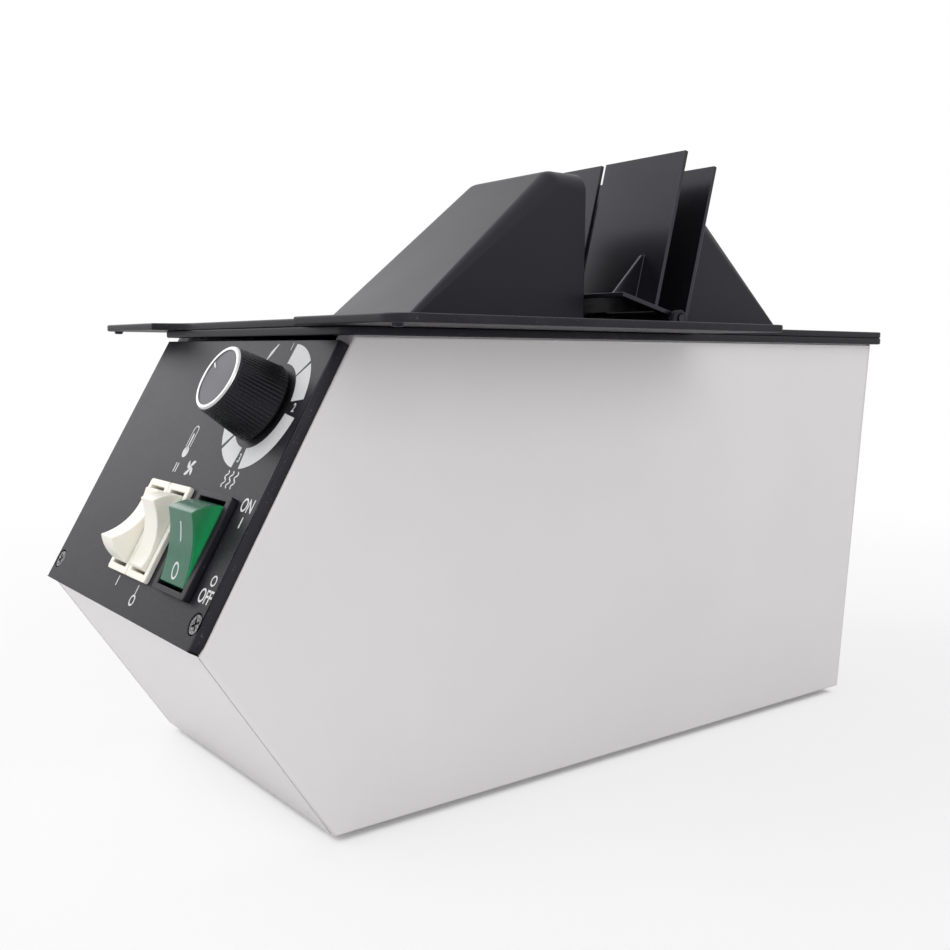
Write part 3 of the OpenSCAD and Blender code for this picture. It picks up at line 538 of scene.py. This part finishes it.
# Words and numbers are type, pressed as thin as the rest: text, x, v, height in mm.
WORDS = (("1", 35.6, 5.6, 2.4), ("2", 53.8, 25.0, 2.7), ("3", 36.6, 42.2, 2.7),
         ("4", 19.4, 25.0, 2.7), ("ON", 54.6, 55.2, 4.0), ("OFF", 55.6, 81.8, 4.0))
CAPITAL = 0.7                        # a capital's height in the size of its type
TYPE_BOLD, TYPE_SPACING, TYPE_NARROW = 0.00006, 0.95, 0.8
ONE_SPOT = 1e-7
for word, x, v, tall in WORDS:
    type_face = bpy.data.curves.new(f"type_{word}", "FONT")
    type_face.body, type_face.size = word, tall * MM / CAPITAL
    type_face.align_x, type_face.align_y = "CENTER", "CENTER"
    type_face.extrude, type_face.offset = INK * MM / 2, TYPE_BOLD
    type_face.space_character = TYPE_SPACING
    cut = bpy.data.objects.new(f"type_{word}", type_face)
    bpy.context.scene.collection.objects.link(cut)
    bpy.context.view_layer.update()
    letters = bmesh.new()
    letters.from_mesh(cut.to_mesh())
    bpy.data.objects.remove(cut)
    bmesh.ops.scale(letters, vec=(TYPE_NARROW, 1, 1), verts=letters.verts)
    bmesh.ops.remove_doubles(letters, verts=letters.verts, dist=ONE_SPOT)
    set_on_panel(letters, on_panel(x, v, INK / 2))
    bmesh.ops.recalc_face_normals(letters, faces=letters.faces)
    finished(letters, f"panel_word_{word}", "warmer", "pale_block", ink)

# ---- Knob ----
# A black fluted knob with a bright chamfered ring round a dark spun metal cap that
# carries a short white pointer. It turns a potentiometer behind the panel.
KNOB_SKIN = (0.006, 0.006, 0.007), (0.012, 0.012, 0.013)
SPUN_METAL = (0.030, 0.030, 0.036), (0.06, 0.06, 0.07)
GAP, FOOT_R, END_R, KNOB_TALL = 0.0008, 0.0123, 0.0103, 0.0156
FLUTES, FLUTE, STEPS_PER_FLUTE = 60, 0.00022, 6
FLUTE_FROM, LEVEL_APART = 0.0016, 0.0033
RING_EDGE = 0.0001
CAP_AT, CAP_R, CAP_THICK = 0.01675, 0.00880, 0.0005
RIDGES, RIDGE, CAP_STEPS = 14, 0.00005, 96
POINTER, POINTER_OUT, POINTER_EDGE = (0.0007, 0.0026, 0.0004), 0.0066, 0.0001
POINTER_TURN = radians(55)           # anticlockwise from up the slant


def knob_skin(place):
    grain = place.noise(size=0.0005)
    return {"Base Color": grain.blend(*KNOB_SKIN), "Roughness": 0.22 + 0.12 * grain}


def spun_metal(place):
    worn = place.noise(size=0.003, detail=3.0)
    return {"Base Color": worn.blend(*SPUN_METAL), "Roughness": 0.30 + 0.12 * worn}


def lathed(shape, profile, steps):
    """Spins a profile of (radius, height) round the z axis."""
    corners = [shape.verts.new((radius, 0, height)) for radius, height in profile]
    line = [shape.edges.new(pair) for pair in zip(corners, corners[1:])]
    bmesh.ops.spin(shape, geom=corners + line, cent=(0, 0, 0), axis=(0, 0, 1),
                   dvec=(0, 0, 0), angle=2 * pi, steps=steps, use_merge=True)
    bmesh.ops.remove_doubles(shape, verts=shape.verts, dist=ONE_SPOT)


knob_black = material("knob_black_skin", knob_skin, Specular_IOR_Level=0.25,
                      Specular_Tint=DARK_SHEEN)
cap_metal = material("knob_cap_spun", spun_metal, Metallic=0.85)
bright = material("bright_ring_turned", rolled_steel, Metallic=1.0, Coat_Weight=0.1)

# Height over the knob's foot, radius, and how deep the flutes are cut there.
levels = [(0.0, FOOT_R - 0.0008, 0.0), (0.0005, FOOT_R - 0.0002, 0.2), (0.0012, FOOT_R, 0.6)]
for i in range(5):
    height = FLUTE_FROM + i * LEVEL_APART
    levels.append((height, FOOT_R - (FOOT_R - END_R) * height / KNOB_TALL, 1.0))
levels += [(KNOB_TALL - 0.0003, END_R, 0.6), (KNOB_TALL, END_R - 0.0003, 0.0)]
turned = bmesh.new()
lathed(turned, [(radius, GAP + height) for height, radius, depth in levels],
       FLUTES * STEPS_PER_FLUTE)
bmesh.ops.holes_fill(turned, edges=[e for e in turned.edges if e.is_boundary], sides=0)
for corner in turned.verts:
    at = atan2(corner.co.y, corner.co.x)
    depth = min(levels, key=lambda row: abs(GAP + row[0] - corner.co.z))[2]
    cut = FLUTE * depth * (0.5 - 0.5 * cos(FLUTES * at)) ** 2
    corner.co -= Vector((cos(at), sin(at), 0)) * cut
bmesh.ops.recalc_face_normals(turned, faces=turned.faces)
set_on_panel(turned, dial_foot)
finished(turned, "heat_knob_finished", "knob", "black_gloss", knob_black,
         replaced="heat_knob")
softened("knob_ring", "knob", "bright_ring", bright, RING_EDGE)
dress(steel, "pot_shaft", "pot_nut")

cap = bmesh.new()
ridged = [(CAP_R * i / (2 * RIDGES), CAP_AT - (RIDGE if i % 2 else 0))
          for i in range(2 * RIDGES + 1)]
lathed(cap, ridged + [(CAP_R, CAP_AT - CAP_THICK), (0, CAP_AT - CAP_THICK)], CAP_STEPS)
bmesh.ops.recalc_face_normals(cap, faces=cap.faces)
set_on_panel(cap, dial_foot)
finished(cap, "knob_cap", "knob", "black_gloss", cap_metal)

pointer = bmesh.new()
bmesh.ops.create_cube(pointer, size=1)
bmesh.ops.scale(pointer, vec=POINTER, verts=pointer.verts)
rounded(pointer, pointer.edges[:], POINTER_EDGE, EDGE_STEPS)
bmesh.ops.translate(pointer, vec=(0, POINTER_OUT, CAP_AT), verts=pointer.verts)
bmesh.ops.rotate(pointer, matrix=Matrix.Rotation(POINTER_TURN, 3, "Z"), verts=pointer.verts)
set_on_panel(pointer, dial_foot)
finished(pointer, "knob_pointer", "knob", "pale_block", ink)

# ---- Cream switches ----
# Two single-pole rockers side by side, each snapped into the panel with its own
# cream bezel. The rocker is hollowed between its tips and rolls on side stubs.
CREAM = (0.88, 0.85, 0.76), (0.93, 0.91, 0.84)
BEZEL_EDGE = 0.0003
STUB_REACH = 0.0009                  # the side stubs past the rocker's flanks
SKIRT = 97                           # degrees that the end arcs run down into the well
HOLLOW_STEPS, SKIRT_STEPS = 16, 6
ROCKER_EDGE, ROCKER_STEPS, ROCKER_SHARP = 0.0004, 3, radians(28)
CREAM_REACH, CREAM_TIP, CREAM_MIDDLE, CREAM_TILT = 12.6, 52.4, 4.9, 17.7


def cream_skin(place):
    tint = place.noise(size=0.01, detail=3.0)
    grain = place.noise(size=0.0005)
    return {"Base Color": tint.blend(*CREAM), "Roughness": 0.30 + 0.10 * grain,
            "Normal": grain.bump(height=0.00003, strength=0.3)}


def rolled_rocker(side, body, joint, slot, finishes, reach, tip, middle, tilt):
    """A rocker: hollowed between its tips, with end arcs round its pivot.

    reach and middle are radii in mm, tip and tilt angles in degrees.
    """
    low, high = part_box(f"{side}_rocker")
    half = (high.x - low.x) / 2 - STUB_REACH
    sink = reach * cos(radians(tip)) - middle
    chord = reach * sin(radians(tip))
    bow = (chord * chord + sink * sink) / (2 * sink)
    open_angle = asin(chord / bow)
    sweeps = [open_angle * (1 - 2 * i / HOLLOW_STEPS) for i in range(HOLLOW_STEPS + 1)]
    hollow = [(bow * sin(a), middle + bow - bow * cos(a)) for a in sweeps]
    skirt = [radians(tip + (SKIRT - tip) * i / SKIRT_STEPS) for i in range(1, SKIRT_STEPS + 1)]
    lower = [(-reach * sin(a), reach * cos(a)) for a in skirt]
    upper = [(reach * sin(a), reach * cos(a)) for a in reversed(skirt)]
    shape = bmesh.new()
    pulled_out(shape, [(-half, y * MM, z * MM) for y, z in hollow + lower + upper],
               (2 * half, 0, 0))
    rounded(shape, [e for e in shape.edges if e.calc_face_angle() > ROCKER_SHARP],
            ROCKER_EDGE, ROCKER_STEPS)
    bmesh.ops.rotate(shape, matrix=Matrix.Rotation(radians(tilt), 3, "X"), verts=shape.verts)
    pivot = next(j["pos_m"] for j in frame["joints"] if j["name"] == joint)
    set_on_panel(shape, Vector(pivot))
    return finished(shape, f"{side}_rocker_finished", body, slot, *finishes,
                    replaced=f"{side}_rocker")


cream = material("cream_plastic_skin", cream_skin, Subsurface_Weight=0.12,
                 Subsurface_Scale=0.002)
for side, tilt in (("left", -CREAM_TILT), ("right", CREAM_TILT)):
    softened(f"{side}_switch_body", "warmer", "cream_plastic", cream, BEZEL_EDGE)
    rolled_rocker(side, f"{side}_cream_rocker", f"{side}_cream_switch", "cream_plastic",
                  [cream], CREAM_REACH, CREAM_TIP, CREAM_MIDDLE, tilt)

# ---- Mains switch ----
# A wide rocker of clear green plastic over a neon lamp, in a black bezel. Its on
# and off marks are inlaid in white and follow the hollow face.
GREEN_FACE = (0.008, 0.095, 0.05), (0.016, 0.15, 0.08)
GREEN_SIDE_PAINTED_GLOW = (0.004, 0.10, 0.035), (0.008, 0.36, 0.11)
GREEN_PAINTED_GLOW, NEON_LIGHT = (0.02, 0.6, 0.2, 1), (1.0, 0.35, 0.1, 1)
NEON_GLASS = (0.9, 0.45, 0.2), (0.95, 0.6, 0.35)
GATHERS = 0.008                      # depth over the panel in which the light gathers
MAINS_REACH, MAINS_TIP, MAINS_MIDDLE, MAINS_TILT = 13, 53, 6.4, 21
LINE_V, LINE_STEP, LINE_STEPS, LINE_WIDTH = 65.4, 0.34, 15, 0.7
RING_V, RING_HALF_W, RING_HALF_H, RING_STEPS, RING_WIDTH = 78.4, 1.7, 2.2, 32, 0.65


def green_glow(place):
    depth = place.noise(size=0.006)
    return {"Base Color": depth.blend(*GREEN_FACE), "Roughness": 0.18 + 0.08 * depth}


def green_side_painted_glow(place):
    """Painted glow: the flank's colour is brightest towards the panel, where the neon lamp's
    light gathers in the lens.
    """
    toward = place.node("ShaderNodeVectorMath", {0: place, 1: panel_out}, out=1,
                        operation="DOT_PRODUCT")
    foot = dial_foot.dot(panel_out)
    glow_toward_panel = 1 - toward.between(foot, foot + GATHERS)
    # depth mixes a random tone with the painted glow.
    depth = 0.35 * place.noise(size=0.004) + 0.75 * glow_toward_panel
    return {"Base Color": depth.blend(*GREEN_SIDE_PAINTED_GLOW), "Roughness": 0.2 + 0.1 * depth}


def lamp_skin(place):
    haze = place.noise(size=0.002)
    return {"Base Color": haze.blend(*NEON_GLASS), "Roughness": 0.15 + 0.1 * haze}


green = material("green_lens_face", green_glow, Specular_IOR_Level=0.35)
# Painted glow: the lens flank also has a faint green emission, though it is no lamp.
green_edge_painted_glow = material("green_lens_side_painted_glow", green_side_painted_glow, Emission_Strength=0.03,
                      Emission_Color=GREEN_PAINTED_GLOW)
softened("power_switch_body", "warmer", "black_moulding", moulding, BEZEL_EDGE)
mains_rocker = rolled_rocker("power", "mains_rocker", "mains_switch", "green_lens",
                             [green, green_edge_painted_glow], MAINS_REACH, MAINS_TIP, MAINS_MIDDLE,
                             MAINS_TILT)
second_finish_on_flanks(mains_rocker)

lens_low, lens_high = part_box("power_rocker")
middle_x = (lens_low.x + lens_high.x) / 2 / MM
lens_shape = bmesh.new()
lens_shape.from_mesh(frame["nodes"]["power_rocker"].data)
lens_skin = BVHTree.FromBMesh(lens_shape)
lens_shape.free()
inlay = bmesh.new()
stroke(inlay, [(middle_x, LINE_V + LINE_STEP * i) for i in range(LINE_STEPS + 1)],
       LINE_WIDTH, lens_skin)
turns = [2 * pi * i / RING_STEPS for i in range(RING_STEPS + 1)]
stroke(inlay, [(middle_x + RING_HALF_W * sin(t), RING_V - RING_HALF_H * cos(t))
               for t in turns], RING_WIDTH, lens_skin)
printed(inlay, "mains_rocker_marks", "mains_rocker")
dress(material("lamp_glass_neon", lamp_skin, Emission_Strength=0.6,
               Emission_Color=NEON_LIGHT), "power_lamp")

# ---- Heater ----
# Mica boards carry a wound wire ribbon; galvanised ducting leads the warm air up to
# the outlet, and a thermal cut-out sits on the heater's side.
MICA = (0.42, 0.33, 0.22), (0.66, 0.58, 0.45)
BURNT_WIRE = (0.24, 0.22, 0.24), (0.42, 0.38, 0.36)


def mica_flake(place):
    flake = place.noise(size=0.002, detail=5.0)
    return {"Base Color": flake.blend(*MICA), "Roughness": 0.35 + 0.2 * flake}


def heated_wire(place):
    burn = place.noise(size=0.003, detail=3.0)
    return {"Base Color": burn.blend(*BURNT_WIRE), "Roughness": 0.35 + 0.15 * burn}


dress(material("mica_board", mica_flake), "heater_frame")
dress(material("ribbon_burnt", heated_wire, Metallic=0.9), "heater_ribbon")
dress(zinc, "air_duct", "thermal_cutout")

# ---- Blower ----
# A small motor drives a squirrel cage fan in a folded scroll housing; the motor hangs
# on a galvanised angle bracket that stands on the bottom sheet.
MOTOR_IRON = (0.20, 0.20, 0.21), (0.36, 0.36, 0.37)


def cast_iron(place):
    grit = place.noise(size=0.0008, detail=4.0)
    return {"Base Color": grit.blend(*MOTOR_IRON), "Roughness": 0.4 + 0.2 * grit,
            "Normal": grit.bump(height=0.00005, strength=0.4)}


dress(zinc, "scroll_housing", "scroll_cover", "motor_bracket")
dress(material("motor_iron_cast", cast_iron, Metallic=0.8), "motor", "pot_body")
dress(material("fan_plastic_skin", knob_skin), "impeller")
dress(steel, "motor_shaft")

# ---- Electrics ----
# The control board stands on four posts with its heat sink; a pale terminal block
# takes the mains, which enters through a black bush in the back wall.
BUSH_EDGE = 0.0003
BOARD_GREEN = (0.02, 0.14, 0.05), (0.04, 0.22, 0.09)
MILLED_ALLOY = (0.62, 0.63, 0.65), (0.76, 0.77, 0.79)
PALE_PLASTIC = (0.70, 0.69, 0.64), (0.80, 0.79, 0.75)


def board_lacquer(place):
    weave = place.noise(size=0.0012, detail=4.0)
    return {"Base Color": weave.blend(*BOARD_GREEN), "Roughness": 0.25 + 0.2 * weave}


def milled_alloy(place):
    cut = place.noise(size=0.0007, detail=3.0)
    return {"Base Color": cut.blend(*MILLED_ALLOY), "Roughness": 0.3 + 0.2 * cut}


def pale_skin(place):
    tint = place.noise(size=0.004)
    return {"Base Color": tint.blend(*PALE_PLASTIC), "Roughness": 0.4 + 0.15 * tint}


dress(material("board_lacquer_green", board_lacquer), "control_board")
dress(material("sink_alloy", milled_alloy, Metallic=1.0), "heat_sink")
dress(steel, "board_posts")
dress(material("pale_block_skin", pale_skin), "terminal_block")
softened("cord_bush", "warmer", "black_moulding", moulding, BUSH_EDGE)

# ---- Floor, background and lamps ----
# A pale table runs out into a white background. A large lamp stands high at the front
# left, one at the left gives the black slopes their sheen, one at the right fills in.
WHITE, TABLE = (1, 1, 1, 1), (0.93, 0.93, 0.93, 1)
TABLE_HALF = 4
FADE_FROM, FADE_TO = 0.25, 0.75      # the table turns white between these distances
NEAR_GLOW, UNDER_SHADE, UNDER_EDGE = 0.66, 0.85, 0.004
AMBIENT = 0.60
LAMPS = (("key", (-0.55, -1.35, 1.55), 1.1, 12.0),      # place, size in m, watts
         ("left", (-1.55, -0.30, 0.95), 1.3, 7.0),
         ("fill", (1.7, -0.35, 0.75), 1.2, 7.0))
LAMPS_AIM = Vector((0, 0, 0.1))
plane = bmesh.new()
bmesh.ops.create_grid(plane, x_segments=1, y_segments=1, size=TABLE_HALF)
table_mesh = bpy.data.meshes.new("table")
plane.to_mesh(table_mesh)
plane.free()
table = bpy.data.objects.new("table", table_mesh)
bpy.context.scene.collection.objects.link(table)
pale = bpy.data.materials.new("table_white")
pale.use_nodes = True
tree = pale.node_tree
tree.nodes.clear()
seen = Wire(tree.nodes.new("ShaderNodeLightPath").outputs["Is Camera Ray"])
spot = Wire(tree.nodes.new("ShaderNodeTexCoord").outputs["Object"])
distance = spot.node("ShaderNodeVectorMath", {0: spot}, out=1, operation="LENGTH")
far = distance.between(FADE_FROM, FADE_TO)
rightwards = spot.node("ShaderNodeSeparateXYZ", {0: spot})
across = rightwards.math("ABSOLUTE", rightwards)
along = Wire(rightwards.socket.node.outputs["Y"])
# Painted shade: the table's white glow is turned down under the box's footprint, so the floor
# there shows dark along the box's lower edges.
painted_shade_under_box = ((1 - across.between(side_x - UNDER_EDGE, side_x))
         * along.between(toe.y, toe.y + UNDER_EDGE)
         * (1 - along.between(heel.y - UNDER_EDGE, heel.y)))
lit = seen * (NEAR_GLOW + (1 - NEAR_GLOW) * far) * (1 - UNDER_SHADE * painted_shade_under_box)
matt = seen.node("ShaderNodeBsdfDiffuse", {"Color": TABLE})
glow = seen.node("ShaderNodeEmission", {"Color": WHITE, "Strength": 1.0})
shown = seen.node("ShaderNodeMixShader", {0: lit, 1: matt, 2: glow})
surface = tree.nodes.new("ShaderNodeOutputMaterial")
tree.links.new(shown.socket, surface.inputs["Surface"])
table_mesh.materials.append(pale)

world = bpy.data.worlds.new("studio")
bpy.context.scene.world = world
world.use_nodes = True
tree = world.node_tree
path = tree.nodes.new("ShaderNodeLightPath")
seen = Wire(path.outputs["Is Camera Ray"])
for kind in ("Is Glossy Ray", "Is Transmission Ray"):
    seen = seen.math("MAXIMUM", seen, Wire(path.outputs[kind]))
sky = tree.nodes["Background"]
sky.inputs["Color"].default_value = WHITE
tree.links.new((AMBIENT + (1 - AMBIENT) * seen).socket, sky.inputs["Strength"])

for name, place, size, power in LAMPS:
    lamp = bpy.data.lights.new(name, "AREA")
    lamp.size, lamp.energy = size, power
    source = bpy.data.objects.new(name, lamp)
    bpy.context.scene.collection.objects.link(source)
    aim = LAMPS_AIM - Vector(place)
    source.matrix_world = (Matrix.Translation(place)
                           @ aim.to_track_quat("-Z", "Y").to_matrix().to_4x4())

bpy.context.scene.view_settings.view_transform = "Standard"
